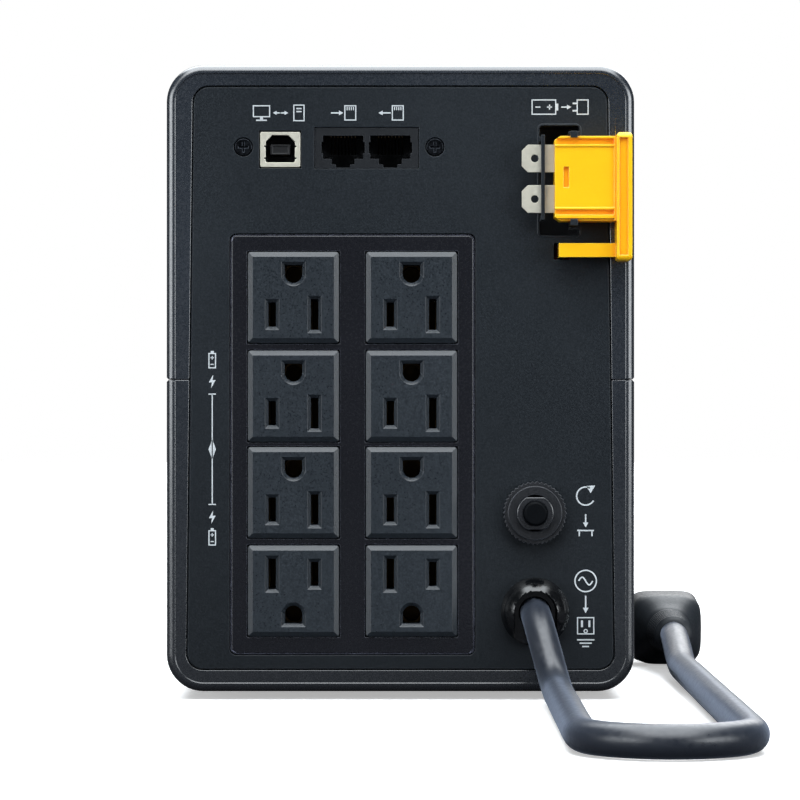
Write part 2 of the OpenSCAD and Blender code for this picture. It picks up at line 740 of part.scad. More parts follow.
module mains_plug() color("#15181c") difference() {
  translate(plug_at) {
    rotate([-90, 0, 0]) cylinder(r1 = 5.6, r2 = 7.4, h = 22);
    translate([0, 21, 0]) rotate([-90, 0, 0]) cylinder(r1 = 7.4, r2 = 11, h = 10);
    translate([0, 50, 0]) rotate([90, 0, 0]) linear_extrude(21) rrect(24, 24.4, 5);
  }
  translate(plug_at - [0, 1, 0]) rotate([-90, 0, 0]) cylinder(r = cord_r + 0.08, h = 9.05);
  prongs(0.03);
}

// Two flat blades and a round ground pin, grown by gap
module prongs(gap) translate(plug_at) {
  for (s = [-1, 1])
    block([s * blade_dx - 0.75 - gap, 38 - gap, -7.2 - gap],
          [s * blade_dx + 0.75 + gap, 67.3, -0.8 + gap]);
  translate([0, 38 - gap, 7.9]) rotate([-90, 0, 0]) cylinder(r = 2.4 + gap, h = 29);
  translate([0, 67 - gap, 7.9]) rotate([-90, 0, 0]) cylinder(r1 = 2.4 + gap, r2 = 1.2, h = 3);
}

module mains_prongs() color("#c8b27a") prongs(0);

// ---------- front ----------
skin_t = 2.8;          // thickness of the bezel
bezel_round = 9;       // radius of its rounded front edge
peg_end = case_d - 22.35;   // depth where the pegs and the switch meet the front board

module bezel_profile() translate([corner_r, 0]) mirror([1, 0, 0]) union() {
  difference() {
    translate([0, -case_d]) square([9.5, bezel_d - 0.2]);
    // outer rounding
    difference() {
      translate([-1, -case_d - 1]) square([10, 10]);
      translate([bezel_round, -case_d + bezel_round]) circle(bezel_round);
    }
    // hollow inside
    translate([skin_t, -case_d + bezel_round]) square([8, bezel_d]);
    translate([bezel_round, -case_d + bezel_round]) circle(bezel_round - skin_t);
    translate([bezel_round, -case_d + skin_t]) square([2, 8]);
  }
  // lip that reaches back inside the shells
  translate([2.75, -shell_d - 4]) square([1.85, 12]);
}

module front_bezel() color("#24292e") difference() {
  union() {
    hoop() bezel_profile();
    slab([0, mid_z], case_d - skin_t, case_d)
      rrect(2 * half_w - 18.6, 2 * half_h - 18.6, 1.8);
    for (at = front_pegs) slab(at, peg_end, case_d - 2.5) circle(3.5);
  }
  // sunk face round the button, and a row of deeper grooves
  slab([0, 118], case_d - 0.7, case_d + 1) rrect(74, 118, 6);
  for (i = [0:6]) slab([0, 14 + i * 6], case_d - 0.9, case_d + 1) rect(74, 1.6);
  slab(button, case_d - 4, case_d + 1) circle(12.1);
  for (at = lenses) slab(at, case_d - 4, case_d + 1) circle(1.65);
  for (at = front_pegs) slab(at, case_d - 23, case_d - 8) circle(1.25);
}

module button_ring() color("#bfe3c4") difference() {
  union() {
    slab(button, case_d - 6.5, case_d - 0.4) circle(12);
    slab(button, case_d - 6.5, case_d - skin_t - eps) circle(13.6);
  }
  slab(button, case_d - 8, case_d + 1) circle(button_r + 0.08);
}

module power_button() color("#2a2f35") {
  slab(button, case_d - 8, case_d - 0.6) circle(button_r);
  translate([button[0], rear_y + case_d - 0.6, button[1]]) rotate([-90, 0, 0])
    cylinder(r1 = button_r, r2 = button_r - 0.6, h = 0.6);
  slab(button, case_d - 9, case_d - 6.6) circle(button_r + 1.6);
  slab(button, case_d - 15.55, case_d - 8) circle(2);
}

module status_lenses() color("#cfe8ff") for (at = lenses) {
  slab(at, case_d - 6, case_d - 0.5) circle(1.6);
  slab(at, case_d - 6, case_d - skin_t - eps) circle(2.3);
}

module front_board() color("#1f5a3a") difference() {
  slab([0, 153], case_d - 24, case_d - 22.4) rrect(56, 52, 2);
  for (at = front_pegs) slab(at, case_d - 25, case_d - 22) circle(1.6);
}

module power_switch() color("#3a3a3d") difference() {
  slab(button, peg_end, case_d - 17.6) rect(8, 8);
  slab(button, case_d - 21.6, case_d - 17) circle(1.57);
}

module switch_plunger() color("#b7b7b2")
  slab(button, case_d - 19.9, case_d - 15.6) circle(1.5);

// ---------- battery ----------
battery_low = [-32.5, -24, floor_z + 0.3];
battery_high = [32.5, 127, floor_z + 94.3];
battery_top = battery_high[2];
tab_x = 22;

module battery_case() color("#3c4046") difference() {
  union() {
    block(battery_low, battery_high - [0, 0, 8]);
    block(battery_low + [0.6, 0.6, 80], battery_high - [0.6, 0.6, 0]);
  }
  // wells for the tabs, and six round dimples
  both_sides([tab_x - 6, 109, battery_top - 4], [tab_x + 6, 123, battery_top + 1]);
  for (i = [0:5]) translate([0, -8 + i * 19, battery_top - 0.8]) cylinder(r = 5, h = 2);
}

module battery_tabs() color("#c4c2b6") {
  both_sides([tab_x - 3.15, 115.6, battery_top - 4], [tab_x + 3.15, 116.4, battery_top + 4]);
  both_sides([tab_x - 4, 111, battery_top - 4], [tab_x + 4, 121, battery_top - 3.2]);
}

// Cables from the tabs to the socket contacts
module battery_cables() {
  tab_top = battery_top + 4;
  end_y = rear_y + 30;
  color("#b3261e") wire([
    [tab_x, 116, tab_top], [tab_x, 116, 114], [46, 104, 114], [46, -122, 114],
    [socket[0], -122, blade_z[1]], [socket[0], end_y, blade_z[1]]
  ], 2);
  color("#18191b") wire([
    [-tab_x, 116, tab_top], [-tab_x, 116, 107], [-tab_x, 98, 107], [53, 98, 107],
    [53, -112, 107], [53, -112, blade_z[0]],
    [socket[0], -124, blade_z[0]], [socket[0], end_y, blade_z[0]]
  ], 2);
}

// ---------- transformer ----------
core_z = floor_z + 3;                                      // underside of the core
core_bolts = grid([-39, 39], [core_z + 7, core_z + 68]);   // [x, z]

module transformer_core() color("#6d6f72") difference() {
  block([-45, -97.5, core_z], [45, -52.5, core_z + 75]);
  both_sides([15, -98, core_z + 15], [30, -52, core_z + 60]);
  for (at = core_bolts) translate([at[0], -40, at[1]]) rotate([90, 0, 0])
    cylinder(r = 2.5, h = 70);
}

module transformer_coil() color("#a8562a") difference() {
  translate([0, -75, core_z + 15.5]) linear_extrude(44) rrect(59.4, 73, 6);
  block([-15.2, -97.7, core_z + 15], [15.2, -52.3, core_z + 61]);
}

module transformer_bracket() color("#8d9092") difference() {
  union() {
    block([-57, -100, core_z - 1.4], [57, -50, core_z - 0.02]);
    both_sides([45.05, -88, core_z - 1], [46.45, -62, core_z + 58]);
  }
  at_each(bracket_bosses, core_z - 3) cylinder(r = 1.6, h = 6);
  for (i = [0:3]) block([-18, -95 + i * 11, core_z - 3], [18, -90 + i * 11, core_z + 1]);
}

module transformer_bolts() color("#b4b6b8") {
  for (at = core_bolts) {
    translate([at[0], -51, at[1]]) rotate([90, 0, 0]) cylinder(r = 2.44, h = 48);
    translate([at[0], -48.9, at[1]]) rotate([90, 0, 0]) cylinder(r = 4.4, h = 3.55, $fn = 6);
    translate([at[0], -97.55, at[1]]) rotate([90, 0, 0]) cylinder(r = 4.4, h = 3.6, $fn = 6);
  }
  at_each(bracket_bosses, core_z) rotate([180, 0, 0]) screw(2.8, 1.6, 1.25, 4.6);
}

// ---------- electronics ----------
sink_x = [-34, 8];
part_z = board_top + eps;     // underside of the parts on the main board

module main_board() color("#235c3d") difference() {
  block([-55, -110, board_z], [45, 80, board_top]);
  at_each(board_posts, board_z - 1) cylinder(r = 1.6, h = 4);
}

module heat_sinks() color("#b9bcbf") for (x = sink_x) difference() {
  block([x, -40, part_z], [x + 22, 36, 166]);
  // gaps between the fins
  for (i = [0:6]) block([x + 3, -37.5 + i * 10.6, 129], [x + 23, -30.5 + i * 10.6, 167]);
}

module power_transistors() color("#1c1d20") for (x = sink_x, i = [0:2])
  block([x - 4.6, -34 + i * 24, 132], [x - eps, -24 + i * 24, 147]);

module board_parts() {
  // relays
  color("#26456b") for (i = [0:3]) block([-44 + i * 20, -92, part_z], [-29 + i * 20, -73, 145]);
  // reservoir capacitors
  color("#2b2f45") for (i = [0:2]) translate([-40 + i * 24, 58, part_z]) cylinder(r = 8, h = 30);
  // ring chokes
  color("#7c4a25") for (i = [0:2]) translate([-38 + i * 22, -56, part_z]) difference() {
    cylinder(r = 8, h = 9);
    translate([0, 0, -1]) cylinder(r = 3.4, h = 12);
  }
}

module board_screws() color("#8f9294") {
  at_each(board_posts, board_z) screw(2.7, 1.6, 1.2, 13);
  for (at = front_pegs) translate([at[0], rear_y + case_d - 24, at[1]]) rotate([-90, 0, 0])
    screw(2.7, 1.6, 1.2, 13);
}

module buzzer() color("#121315") difference() {
  translate([30, -58, part_z]) cylinder(r = 6, h = 9);
  translate([30, -58, 137]) cylinder(r = 1.2, h = 3);
}

upper_shell();
lower_shell();
rear_panel();
front_bezel();
rubber_feet();
case_screws();
outlet_plate();
outlet(0, 0);  // outlet_1
outlet(0, 1);  // outlet_2
outlet(0, 2);  // outlet_3
outlet(0, 3);  // outlet_4
outlet(1, 0);  // outlet_5
outlet(1, 1);  // outlet_6
outlet(1, 2);  // outlet_7
outlet(1, 3);  // outlet_8
live_contacts();
neutral_contacts();
ground_contacts();
live_leads();
neutral_leads();
ground_leads();
usb_shell();
usb_insert();
usb_contacts();
network_jack();
network_contacts();
port_board();
port_bracket();
port_screws();
battery_socket();
socket_contacts();
plug_housing();
plug_blades();
breaker_body();
breaker_nut();
reset_button();
breaker_tabs();
strain_relief();
power_cord();
mains_plug();
mains_prongs();
power_button();
button_ring();
status_lenses();
front_board();
power_switch();
switch_plunger();
battery_case();
battery_tabs();
battery_cables();
transformer_core();
transformer_coil();
transformer_bracket();
transformer_bolts();
main_board();
heat_sinks();
power_transistors();
board_parts();
board_screws();
buzzer();
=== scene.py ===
# A battery-backed power unit standing upright on the floor, with its outlets and ports on the
# rear panel and a power cord that loops over the floor back to its plug.
# Metres, Z up. The rear faces -Y and the front +Y. The camera looks at the rear along +Y, so
# +X is to the right of the view.
import bpy
import bmesh
import json
import math
import random
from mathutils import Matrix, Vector


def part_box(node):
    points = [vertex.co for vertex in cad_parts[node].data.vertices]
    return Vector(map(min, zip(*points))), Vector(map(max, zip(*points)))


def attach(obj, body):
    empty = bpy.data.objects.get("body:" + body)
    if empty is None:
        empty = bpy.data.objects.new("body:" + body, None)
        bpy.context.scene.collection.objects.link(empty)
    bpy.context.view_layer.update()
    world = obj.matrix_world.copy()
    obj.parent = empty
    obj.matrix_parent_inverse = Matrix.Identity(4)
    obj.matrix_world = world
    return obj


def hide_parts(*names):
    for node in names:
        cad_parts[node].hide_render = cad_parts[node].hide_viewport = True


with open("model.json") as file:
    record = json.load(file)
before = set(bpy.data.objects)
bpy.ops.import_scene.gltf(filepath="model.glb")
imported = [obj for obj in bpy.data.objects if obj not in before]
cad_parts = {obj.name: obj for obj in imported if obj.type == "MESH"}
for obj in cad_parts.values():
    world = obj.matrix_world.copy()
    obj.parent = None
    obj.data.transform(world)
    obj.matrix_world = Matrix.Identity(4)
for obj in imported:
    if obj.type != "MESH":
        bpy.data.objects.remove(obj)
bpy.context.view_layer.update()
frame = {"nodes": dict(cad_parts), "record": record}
nodes = frame["nodes"]
scene = bpy.context.scene
random.seed(7)

MM = 0.001
REAR_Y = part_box("lower_shell")[0].y   # plane of the rear rim
PANEL_Y = REAR_Y + 0.6 * MM           # face of the rear panel, sunk inside the rim
CREASE = math.radians(32)             # edges that turn further than this are sharp


def centre_xz(part):
    """Middle of a part's box in x and z."""
    lo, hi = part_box(part)
    return (lo.x + hi.x) / 2, (lo.z + hi.z) / 2


# ------------------------------------------------------------------ shader graphs
MIDDLE = (0.3, 0.7)      # span that holds most noise values


def srgb(*channels):
    """Linear colour from 0-255 screen values."""
    def linear(c):
        c /= 255.0
        return c / 12.92 if c <= 0.04045 else ((c + 0.055) / 1.055) ** 2.4
    return (*map(linear, channels), 1.0)


def scaled(colour, factor):
    return (*(min(c * factor, 1) for c in colour[:3]), 1.0)


class Graph:
    """Fresh node tree of a material or world, with helpers that add and link nodes."""

    def __init__(self, owner, kind, space):
        owner.use_nodes = True
        self.owner = owner
        self.tree = owner.node_tree
        self.tree.nodes.clear()
        self.surface = self.node("ShaderNodeOutput" + kind).inputs["Surface"]
        self.coord = self.node("ShaderNodeTexCoord").outputs[space]

    def put(self, socket, value):
        """Link a socket, or set a plain value."""
        if isinstance(value, bpy.types.NodeSocket):
            self.tree.links.new(value, socket)
        else:
            socket.default_value = value

    def node(self, kind, props=None, **inputs):
        """New node. An underscore in an input's name stands for a space."""
        node = self.tree.nodes.new(kind)
        for key, value in (props or {}).items():
            setattr(node, key, value)
        for key, value in inputs.items():
            self.put(node.inputs[key.replace("_", " ")], value)
        return node

    def math(self, operation, *values, clamp=False):
        node = self.node("ShaderNodeMath", dict(operation=operation, use_clamp=clamp))
        for socket, value in zip(node.inputs, values):
            self.put(socket, value)
        return node.outputs[0]

    def ramp(self, value, span, to=(0.0, 1.0), shape="LINEAR"):
        """Map the span onto another one, held at its ends."""
        node = self.node("ShaderNodeMapRange", dict(interpolation_type=shape, clamp=True),
                         Value=value, From_Min=span[0], From_Max=span[1],
                         To_Min=to[0], To_Max=to[1])
        return node.outputs[0]


class MaterialGraph(Graph):
    """Node tree of a new material, mapped in object space."""

    def __init__(self, name):
        super().__init__(bpy.data.materials.new(name), "Material", "Object")

    def math(self, operation, a, b, clamp=False):
        # the third input, which two-value operations ignore, stays at zero
        return super().math(operation, a, b, 0.0, clamp=clamp)

    def mix(self, factor, a, b):
        node = self.node("ShaderNodeMix", dict(data_type="RGBA"), Factor=factor)
        self.put(node.inputs[6], a)
        self.put(node.inputs[7], b)
        return node.outputs[2]

    def blend(self, a, b, share):
        """Sum of two values, the first weighted by its share and the second by the rest."""
        return self.math("ADD", self.math("MULTIPLY", a, share),
                         self.math("MULTIPLY", b, 1 - share))

    def noise(self, mm, detail=2.0, rough=0.55, stretch=None):
        """Noise with features of about the given size."""
        vector = self.coord
        if stretch:
            vector = self.node("ShaderNodeMapping", Vector=vector, Scale=stretch).outputs[0]
        return self.node("ShaderNodeTexNoise", Vector=vector, Scale=1000.0 / mm,
                         Detail=detail, Roughness=rough).outputs["Fac"]

    def edges(self, mm, gain=1.0):
        """Edge mask for wear and painted highlights: where a softened normal turns away from
        the true one.
        """
        bevel = self.node("ShaderNodeBevel", dict(samples=4), Radius=mm * MM)
        dot = self.node("ShaderNodeVectorMath", dict(operation="DOT_PRODUCT"))
        self.put(dot.inputs[0], bevel.outputs[0])
        self.put(dot.inputs[1], self.node("ShaderNodeNewGeometry").outputs["Normal"])
        return self.ramp(dot.outputs["Value"], (0.97, 0.72), (0.0, gain))

    def bump(self, height, strength, mm):
        return self.node("ShaderNodeBump", Strength=strength, Distance=mm * MM,
                         Height=height).outputs[0]

    def shade(self, **inputs):
        """Finish with a Principled shader and return the material."""
        shader = self.node("ShaderNodeBsdfPrincipled", **inputs)
        self.put(self.surface, shader.outputs[0])
        return self.owner


# ------------------------------------------------------------------ kinds of material
def plastic(name, base, rough=0.45, grain=0.45, bump=0.25, speckle=0.25, drift=0.12, spec=0.4,
            edge=0.35, edge_mm=0.5, rim=2.4, coat=0.0, sheen=0.0, low=0.0):
    """Moulded plastic with a fine grain.

    grain: grain size in mm; speckle: strength of the light and dark flecks; drift: slow
    change of colour; edge, edge_mm, rim: strength, width and brightness of the edges, which
    are glossier where worn and brightened by a painted highlight; low: painted shade, a
    darkening towards the floor.
    """
    g = MaterialGraph(name)
    fine = g.noise(mm=grain, rough=0.6)
    micro = g.noise(mm=grain * 0.4, detail=1.0, rough=0.5)
    slow = g.noise(mm=60.0, detail=3.0, rough=0.5)
    colour = g.mix(g.ramp(slow, MIDDLE), scaled(base, 1 - drift), scaled(base, 1 + drift))
    # bright flecks on the grain's peaks, dark ones in its pits
    peaks = g.ramp(g.blend(fine, micro, share=0.6), (0.50, 0.72), (0.0, speckle))
    colour = g.mix(peaks, colour, scaled(base, 2.6))
    pits = g.ramp(fine, (0.5, 0.28), (0.0, speckle))
    colour = g.mix(pits, colour, scaled(base, 0.45))
    # painted shade: the colour darkens towards the floor over the lowest 0.13 m
    if low:
        height = g.node("ShaderNodeSeparateXYZ", Vector=g.coord).outputs["Z"]
        colour = g.mix(g.ramp(height, (0.13, 0.0), (0.0, low)), colour, scaled(base, 0.12))
    patches = g.ramp(g.noise(mm=3.0, detail=3.0), (0.25, 0.6), (0.45, 1.0))
    wear_and_edge_highlight = g.math("MULTIPLY", g.edges(edge_mm, edge), patches)
    # painted highlight: the colour along the edges is raised towards rim times the base
    colour = g.mix(wear_and_edge_highlight, colour, scaled(base, rim))
    # rougher on the grain, glossier where worn
    gloss = g.math("ADD", g.ramp(fine, MIDDLE, (rough - 0.07, rough + 0.09)),
                   g.ramp(slow, MIDDLE, (-0.03, 0.03)), clamp=True)
    gloss = g.math("SUBTRACT", gloss, g.math("MULTIPLY", wear_and_edge_highlight, 0.12), clamp=True)
    relief = g.blend(fine, micro, share=0.7)
    return g.shade(Base_Color=colour, Roughness=gloss,
                   Normal=g.bump(relief, bump, mm=grain * 0.25),
                   Specular_IOR_Level=spec, Coat_Weight=coat, Coat_Roughness=0.12,
                   Sheen_Weight=sheen, Sheen_Roughness=0.35, Sheen_Tint=(0.66, 0.77, 1.0, 1.0))


def metal(name, base, rough=0.35, brushed=(1, 1, 1), tarnish=0.25, bump=0.15, edge=0.3,
          metallic=1.0):
    """Metal with mill marks, stretched by `brushed`, faint tarnish and painted highlights that
    brighten its edges.
    """
    g = MaterialGraph(name)
    lines = g.noise(mm=1.2, detail=3.0, rough=0.6, stretch=brushed)
    pits = g.noise(mm=0.5, rough=0.6)
    slow = g.noise(mm=14.0, detail=3.0)
    colour = g.mix(g.ramp(slow, (0.35, 0.7), (0.0, tarnish)), base, scaled(base, 0.55))
    colour = g.mix(g.ramp(lines, (0.35, 0.7), (0.0, 0.25)), colour, scaled(base, 1.25))
    # painted highlight: the edges are brightened half again over the base
    colour = g.mix(g.edges(0.3, edge), colour, scaled(base, 1.5))
    gloss = g.math("ADD", g.ramp(lines, MIDDLE, (rough - 0.08, rough + 0.1)),
                   g.ramp(slow, MIDDLE, (-0.04, 0.06)), clamp=True)
    return g.shade(Base_Color=colour, Metallic=metallic, Roughness=gloss,
                   Normal=g.bump(g.blend(lines, pits, share=0.7), bump, mm=0.06))


def rubber(name, base, rough=0.75):
    """Dull rubber with a cloudy colour."""
    g = MaterialGraph(name)
    fine = g.noise(mm=0.6, detail=3.0, rough=0.65)
    slow = g.noise(mm=8.0, detail=3.0, rough=0.6)
    return g.shade(
        Base_Color=g.mix(g.ramp(slow, (0.35, 0.75)), scaled(base, 0.8), scaled(base, 1.7)),
        Roughness=g.ramp(fine, MIDDLE, (rough - 0.08, rough + 0.1)),
        Normal=g.bump(fine, 0.3, mm=0.12), Specular_IOR_Level=0.3)


def board(name, base):
    """Solder-masked laminate with copper runs that show as lighter lines."""
    g = MaterialGraph(name)
    runs = g.node("ShaderNodeTexBrick", Vector=g.coord, Scale=90.0, Mortar_Size=0.05,
                  Color1=base, Color2=scaled(base, 1.25), Mortar=scaled(base, 2.2))
    fine = g.noise(mm=0.5)
    cloud = g.ramp(g.noise(mm=6.0, detail=3.0), MIDDLE, (0.0, 0.35))
    return g.shade(Base_Color=g.mix(cloud, runs.outputs["Color"], scaled(base, 0.7)),
                   Roughness=g.ramp(fine, MIDDLE, (0.22, 0.38)),
                   Normal=g.bump(runs.outputs["Fac"], 0.3, mm=0.05))


def layered(name, base, pitch, axis, rough=0.5, metallic=0.0):
    """Parallel layers, a pitch in mm apart: stacked laminations, or turns of wire."""
    g = MaterialGraph(name)
    # the wave texture turns through 20 radians per unit at a scale of 1
    wave = g.node("ShaderNodeTexWave", dict(bands_direction=axis), Vector=g.coord,
                  Scale=2 * math.pi / 20 / (pitch * MM), Distortion=0.4,
                  Detail=1.0).outputs["Fac"]
    slow = g.noise(mm=9.0, detail=3.0)
    colour = g.mix(wave, scaled(base, 0.45), base)
    colour = g.mix(g.ramp(slow, (0.35, 0.75), (0.0, 0.4)), colour, scaled(base, 0.6))
    return g.shade(Base_Color=colour, Metallic=metallic,
                   Roughness=g.ramp(slow, MIDDLE, (rough - 0.08, rough + 0.1)),
                   Normal=g.bump(wave, 0.5, mm=0.15))


def glow(name, base, strength):
    """Clear light pipe with a faint inner cloud."""
    g = MaterialGraph(name)
    cloud = g.noise(mm=2.2, detail=3.0, rough=0.6)
    colour = g.mix(g.ramp(cloud, MIDDLE), scaled(base, 0.75), base)
    return g.shade(Base_Color=colour, Roughness=g.ramp(g.noise(mm=0.6), MIDDLE, (0.12, 0.24)),
                   Normal=g.bump(g.noise(mm=0.8), 0.1, mm=0.05),
                   Emission_Color=colour, Emission_Strength=strength, Coat_Weight=0.4)


def plastic_with_painted_shade(name, base):
    """Semi-gloss plastic with painted shade that turns it deeper orange in its recesses, and
    painted highlights that make it paler at the raised edges.
    """
    g = MaterialGraph(name)
    fine = g.noise(mm=0.7, rough=0.6)
    slow = g.noise(mm=16.0, detail=3.0)
    # painted shade: ambient occlusion turns the recesses deeper orange
    hollow = g.node("ShaderNodeAmbientOcclusion", dict(samples=6), Distance=2.2 * MM)
    sunk = g.ramp(hollow.outputs["AO"], (0.93, 0.45))
    colour = g.mix(g.ramp(slow, MIDDLE, (0.0, 0.5)), base, srgb(255, 204, 6))
    colour = g.mix(sunk, colour, srgb(250, 150, 0))
    # painted highlight: paler yellow along the edges
    colour = g.mix(g.edges(0.5, 0.55), colour, srgb(255, 240, 90))
    colour = g.mix(g.ramp(fine, (0.55, 0.75), (0.0, 0.12)), colour, srgb(255, 222, 50))
    return g.shade(Base_Color=colour, Roughness=g.ramp(fine, MIDDLE, (0.30, 0.42)),
                   Normal=g.bump(fine, 0.12, mm=0.1), Specular_IOR_Level=0.5,
                   Coat_Weight=0.1, Coat_Roughness=0.2,
                   Subsurface_Weight=0.08, Subsurface_Scale=0.002)


# ------------------------------------------------------------------ the materials
MATS = {}


def finish(kind, name, red, green, blue, **look):
    MATS[name] = kind(name, srgb(red, green, blue), **look)


# rim sets the brightness of each plastic's painted edge highlights, low the depth of its
# painted shade towards the floor
finish(plastic, "shell_plastic", 30, 36, 44, rough=0.27, grain=0.5, bump=0.06, speckle=0.10,
       spec=1.0, edge=0.25, coat=0.8, low=0.75)
finish(plastic, "panel_plastic", 27, 32, 37, rough=0.38, grain=0.5, bump=0.28, speckle=0.42,
       spec=0.30, edge=0.6, edge_mm=0.35, rim=4.5, low=0.45)
finish(plastic, "plate_plastic", 24, 25, 30, rough=0.24, grain=0.8, bump=0.04, speckle=0.05,
       spec=0.36, edge=0.9, edge_mm=0.3, rim=20.0, low=0.2)
finish(plastic, "outlet_plastic", 33, 39, 45, rough=0.34, grain=0.55, bump=0.34, speckle=0.50,
       spec=0.52, edge=0.65, edge_mm=0.35, rim=5.5, low=0.12)
finish(plastic, "bezel_plastic", 40, 45, 50, rough=0.42, speckle=0.22, edge=0.3)
finish(rubber, "foot_rubber", 26, 26, 27)
finish(metal, "dark_screw_steel", 44, 47, 52, rough=0.3, tarnish=0.4, edge=1.0)
finish(metal, "bright_steel", 190, 192, 195, rough=0.3)
finish(metal, "spring_brass", 96, 78, 50, rough=0.5, tarnish=0.7)
finish(metal, "gold_contact", 84, 72, 52, rough=0.42)
finish(metal, "tin_plate", 208, 205, 190, rough=0.42, tarnish=0.14, bump=0.1, metallic=0.5)
finish(plastic, "black_wire", 24, 24, 26, rough=0.5, grain=0.8)
finish(plastic, "white_wire", 222, 222, 218, rough=0.5, grain=0.8, speckle=0.05, drift=0.04,
       edge=0.0)
finish(plastic, "green_wire", 40, 130, 70, rough=0.5, grain=0.8, speckle=0.05)
finish(plastic, "red_wire", 178, 34, 28, rough=0.5, grain=0.8, speckle=0.05)
finish(plastic, "black_insert", 19, 20, 22, grain=0.5, speckle=0.1)
finish(plastic, "jack_plastic", 23, 26, 30, rough=0.46, grain=0.5, bump=0.2, speckle=0.15,
       spec=0.3, edge=0.9, edge_mm=0.3, rim=4.0)
finish(board, "board_green", 28, 96, 58)
finish(metal, "zinc_sheet", 176, 179, 182, rough=0.4, tarnish=0.4)
finish(plastic, "breaker_plastic", 24, 26, 30, rough=0.28, grain=0.5, bump=0.12, speckle=0.15,
       spec=0.8, edge=1.0, edge_mm=0.35, coat=0.4, rim=7.0)
finish(plastic, "nut_plastic", 21, 23, 27, rough=0.38, grain=0.5, bump=0.2, spec=0.5,
       edge=1.0, edge_mm=0.3, rim=11.0)
finish(plastic, "relief_plastic", 5, 6, 8, rough=0.16, grain=1.2, bump=0.04, speckle=0.03,
       spec=0.5, edge=0.2, coat=0.3)
finish(plastic, "cord_vinyl", 28, 33, 42, rough=0.36, grain=1.4, bump=0.08, speckle=0.06,
       spec=0.7, edge=0.0, sheen=0.3)
finish(plastic, "plug_vinyl", 27, 31, 36, rough=0.42, grain=0.8, bump=0.2, speckle=0.12,
       edge=0.3)
finish(plastic, "button_plastic", 12, 14, 17, rough=0.22, grain=0.8, bump=0.06, speckle=0.04,
       coat=0.5, edge=0.3)
finish(glow, "light_pipe", 196, 236, 205, strength=0.7)
finish(glow, "lens_plastic", 190, 216, 238, strength=0.25)
finish(plastic, "switch_plastic", 56, 57, 60)
finish(plastic, "plunger_plastic", 190, 190, 184, speckle=0.08, drift=0.05)
finish(plastic, "battery_plastic", 62, 66, 73, rough=0.5, grain=0.6)
finish(layered, "core_steel", 128, 130, 134, pitch=3.125, axis="Y", rough=0.45, metallic=0.8)
finish(layered, "coil_wrap", 188, 108, 52, pitch=5.625, axis="Z", rough=0.4)
finish(metal, "sink_aluminium", 205, 207, 210, rough=0.38, brushed=(0.15, 4, 1))
finish(plastic, "chip_epoxy", 26, 26, 29, rough=0.55, grain=0.3)
finish(plastic, "parts_mixed", 38, 64, 104, rough=0.35, grain=0.7, speckle=0.1)
finish(plastic_with_painted_shade, "yellow_plastic", 255, 188, 0)
finish(plastic, "legend_ink", 192, 198, 202, rough=0.55, grain=0.35, bump=0.3, speckle=0.05,
       drift=0.03, spec=0.3, edge=0.0)
finish(plastic, "button_black", 4, 6, 9, rough=0.5, grain=0.6, bump=0.12, speckle=0.05,
       spec=0.08, edge=0.6, edge_mm=0.3, rim=9.0)
finish(plastic, "socket_grey", 44, 46, 50, rough=0.5, grain=0.5, speckle=0.12, edge=0.5,
       edge_mm=0.3)
finish(plastic, "capacitor_sleeve", 42, 46, 70, rough=0.3, grain=0.9, speckle=0.05, coat=0.3)
finish(layered, "choke_winding", 190, 112, 56, pitch=5.0, axis="Z", rough=0.35, metallic=0.6)


# ------------------------------------------------------------------ grouping of faces
def same_places(me):
    """For each vertex, the first vertex that lies in the same place."""
    first = {}
    return [first.setdefault(tuple(round(c, 6) for c in v.co), v.index) for v in me.vertices]


def joined(count, pairs):
    """A group number for each item, after joining the pairs."""
    parent = list(range(count))

    def root(i):
        while parent[i] != i:
            parent[i] = parent[parent[i]]
            i = parent[i]
        return i
    for a, b in pairs:
        parent[root(a)] = root(b)
    return [root(i) for i in range(count)]


def gathered(polygons, numbers):
    """Lists of the polygons that share a group number."""
    groups = {}
    for polygon, number in zip(polygons, numbers):
        groups.setdefault(number, []).append(polygon)
    return groups.values()


def islands(me):
    """Groups of faces that hang together."""
    same = same_places(me)
    pairs = [(same[p.vertices[0]], same[i]) for p in me.polygons for i in p.vertices]
    roots = joined(len(me.vertices), pairs)
    return gathered(me.polygons, [roots[same[p.vertices[0]]] for p in me.polygons])


def mark_curves(me):
    """Smooth shading on curved surfaces only, so that planes keep their flat normals."""
    same = same_places(me)
    edge_faces = {}
    for p in me.polygons:
        corners = [same[i] for i in p.vertices]
        for a, b in zip(corners, corners[1:] + corners[:1]):
            edge_faces.setdefault((min(a, b), max(a, b)), []).append(p.index)
    level, soft = [], set()
    for faces in edge_faces.values():
        if len(faces) != 2:
            continue
        a, b = faces
        turn = me.polygons[a].normal.dot(me.polygons[b].normal)
        if turn > math.cos(math.radians(0.5)):
            level.append((a, b))
        elif turn > math.cos(CREASE):
            soft.update(faces)
    for faces in gathered(me.polygons, joined(len(me.polygons), level)):
        curved = any(p.index in soft for p in faces)
        if curved and len(faces) > 2:
            # a broad plane that only borders a curve stays flat
            size = sum(p.area for p in faces)
            points = [me.vertices[i].co for p in faces for i in p.vertices]
            span = max(max(c[k] for c in points) - min(c[k] for c in points)
                       for k in range(3))
            curved = not (size > 4e-6 and size > 0.02 * span * span)
        for p in faces:
            p.use_smooth = curved


